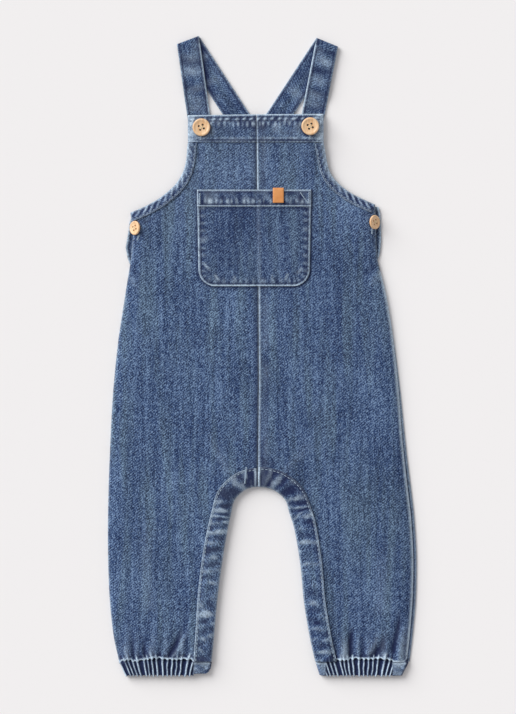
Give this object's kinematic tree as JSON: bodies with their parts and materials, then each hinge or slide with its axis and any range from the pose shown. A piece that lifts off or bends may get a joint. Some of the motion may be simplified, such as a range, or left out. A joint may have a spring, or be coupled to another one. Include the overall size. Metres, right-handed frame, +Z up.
{
  "type": "baby dungarees",
  "caption": "Washed denim dungarees for a baby, laid flat with the front up: bib with patch pocket, straps folded at the shoulder and crossed behind, gathered cuffs.",
  "frame": {"origin": "middle of the laid-out garment's box, on the surface it lies on", "axes": "+X towards the wearer's left side, +Y from the leg hems to the shoulders, +Z up out of the surface, with the front of the garment up"},
  "size_m": [0.2626, 0.5447, 0.011],
  "materials": {
    "denim": "washed mid-blue right-hand twill denim, worn pale along hems and seams",
    "thread": "matte spun polyester sewing thread, faded blue, off-white on the buttons",
    "button_wood": "fine turned light wood with a thin satin varnish",
    "tab_leather": "smooth tan leather, matte to satin, cut edges"
  },
  "bodies": {
    "root": {"front_left": "denim", "back_left": "denim", "bib_hem_left": "denim", "armhole_hem_left": "denim", "side_placket_left": "denim", "inseam_band_left": "denim", "cuff_left": "denim", "strap_left": "denim", "front_right": "denim", "back_right": "denim", "bib_hem_right": "denim", "armhole_hem_right": "denim", "side_placket_right": "denim", "inseam_band_right": "denim", "cuff_right": "denim", "strap_right": "denim", "bib_pocket": "denim", "pocket_hem": "denim", "pocket_tab": "tab_leather", "bib_button_left": "button_wood", "side_button_left": "button_wood", "bib_button_right": "button_wood", "side_button_right": "button_wood"}
  },
  "joints": []
}
